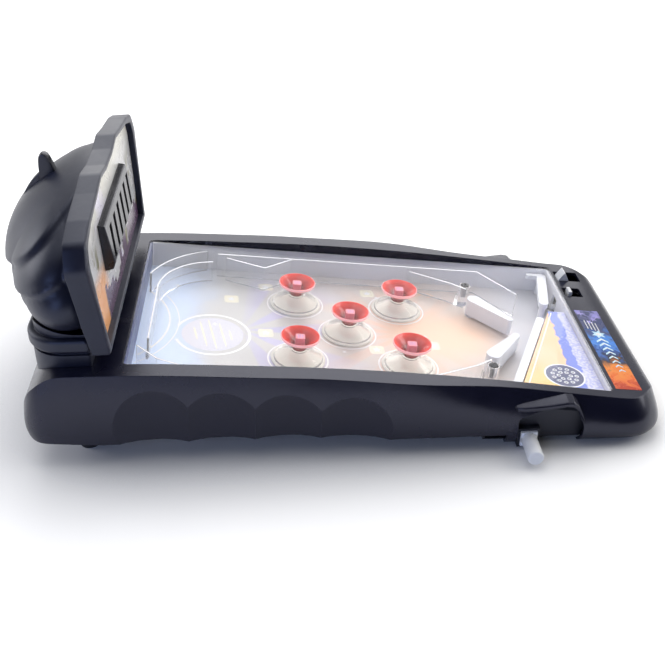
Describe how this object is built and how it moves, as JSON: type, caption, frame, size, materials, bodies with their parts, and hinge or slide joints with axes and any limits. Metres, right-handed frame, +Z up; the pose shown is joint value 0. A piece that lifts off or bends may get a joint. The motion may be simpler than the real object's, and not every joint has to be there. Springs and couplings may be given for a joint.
{
  "type": "tabletop pinball game",
  "caption": "Battery tabletop pinball game: sloped playfield under a clear cover, lit bumpers, button-worked flippers, launch lever and an upright score head.",
  "frame": {"origin": "on the floor, under the centre of the bounding box", "axes": "+X to the player, along the playfield towards its lower end; +Y to the player's right; +Z up"},
  "size_m": [0.4349, 0.251, 0.1746],
  "materials": {
    "black_shell": "moulded, fine satin grain",
    "black_trim": "moulded, glossy",
    "black_inner": "moulded, matt",
    "clear_cover": "clear, polished",
    "clear_plastic": "clear, moulded",
    "red_lens": "translucent red, glossy",
    "white_plastic": "moulded, semi-gloss",
    "playfield_print": "printed, glossy",
    "panel_print": "printed, glossy",
    "steel": "polished",
    "screw_steel": "plated",
    "spring_steel": "drawn wire",
    "rubber": "matt",
    "board": "lacquered",
    "speaker_cone": "paper cone",
    "cell_wrap": "shrink sleeve",
    "contact_metal": "plated",
    "lamp": "clear lens"
  },
  "bodies": {
    "cabinet": {"upper_housing": "black_shell", "bottom_cover": "black_inner", "head_frame": "black_shell", "head_shell": "black_shell", "head_neck": "black_shell", "head_crest": "black_trim", "head_panel": "panel_print", "score_box": "black_trim", "score_board": "board", "score_lamps": "lamp", "playfield_cover": "clear_cover", "playfield_tray": "playfield_print", "lane_wall": "clear_plastic", "rear_arch": "clear_plastic", "rear_corner_guide": "clear_plastic", "rear_deflector": "clear_plastic", "left_inlane_guide": "clear_plastic", "right_inlane_guide": "clear_plastic", "guide_screws": "screw_steel", "trough_bar": "white_plastic", "front_panel": "playfield_print", "speaker": "speaker_cone", "bumper_lamps": "lamp", "launcher_spring": "spring_steel", "launch_bridge": "white_plastic", "switch_body": "black_inner", "housing_screws": "screw_steel", "rubber_feet": "rubber", "batteries": "cell_wrap", "battery_contacts": "contact_metal", "circuit_board": "board", "bumper_1_base": "white_plastic", "bumper_1_skirt": "clear_plastic", "bumper_1_cap": "red_lens", "bumper_2_base": "white_plastic", "bumper_2_skirt": "clear_plastic", "bumper_2_cap": "red_lens", "bumper_3_base": "white_plastic", "bumper_3_skirt": "clear_plastic", "bumper_3_cap": "red_lens", "bumper_4_base": "white_plastic", "bumper_4_skirt": "clear_plastic", "bumper_4_cap": "red_lens", "bumper_5_base": "white_plastic", "bumper_5_skirt": "clear_plastic", "bumper_5_cap": "red_lens", "left_button_bracket": "black_inner", "left_button_spring": "spring_steel", "right_button_bracket": "black_inner", "right_button_spring": "spring_steel"},
    "left_button": {"left_button": "white_plastic"},
    "right_button": {"right_button": "white_plastic"},
    "left_flipper": {"left_flipper": "white_plastic", "left_crank": "black_inner"},
    "right_flipper": {"right_flipper": "white_plastic", "right_crank": "black_inner"},
    "launcher": {"launcher": "white_plastic"},
    "ball": {"steel_ball": "steel"},
    "power_switch": {"switch_knob": "white_plastic"},
    "battery_door": {"battery_door": "black_inner"}
  },
  "joints": [
    {"name": "left_button_press", "type": "slide", "parent": "cabinet", "child": "left_button", "axis": [0, 1, 0], "range_m": [0, 0.0063], "stiffness_N_per_m": 300, "deforming": ["left_button_spring"]},
    {"name": "right_button_press", "type": "slide", "parent": "cabinet", "child": "right_button", "axis": [0, -1, 0], "range_m": [0, 0.0063], "stiffness_N_per_m": 300, "deforming": ["right_button_spring"]},
    {"name": "left_flipper_swing", "type": "hinge", "parent": "cabinet", "child": "left_flipper", "pos_m": [0.10928, -0.0385, 0.01981], "axis": [0.1083, 0, 0.9941], "range_deg": [0, 50]},
    {"name": "right_flipper_swing", "type": "hinge", "parent": "cabinet", "child": "right_flipper", "pos_m": [0.10928, 0.0385, 0.01981], "axis": [-0.1083, 0, -0.9941], "range_deg": [0, 50]},
    {"name": "launcher_pull", "type": "slide", "parent": "cabinet", "child": "launcher", "axis": [0.9941, 0, -0.1083], "range_m": [0, 0.009], "stiffness_N_per_m": 150, "deforming": ["launcher_spring"]},
    {"name": "ball_roll", "type": "slide", "parent": "cabinet", "child": "ball", "axis": [-0.9941, 0, 0.1083], "range_m": [0, 0.012]},
    {"name": "power_switch_slide", "type": "slide", "parent": "cabinet", "child": "power_switch", "axis": [0.9941, 0, -0.1083], "range_m": [0, 0.006]},
    {"name": "battery_door_off", "type": "slide", "parent": "cabinet", "child": "battery_door", "axis": [0, 0, -1], "range_m": [0, 0.016]}
  ],
  "couplings": [
    {"joint": "left_flipper_swing", "follows": "left_button_press", "rad_per_m": 138.52},
    {"joint": "right_flipper_swing", "follows": "right_button_press", "rad_per_m": 138.52}
  ]
}
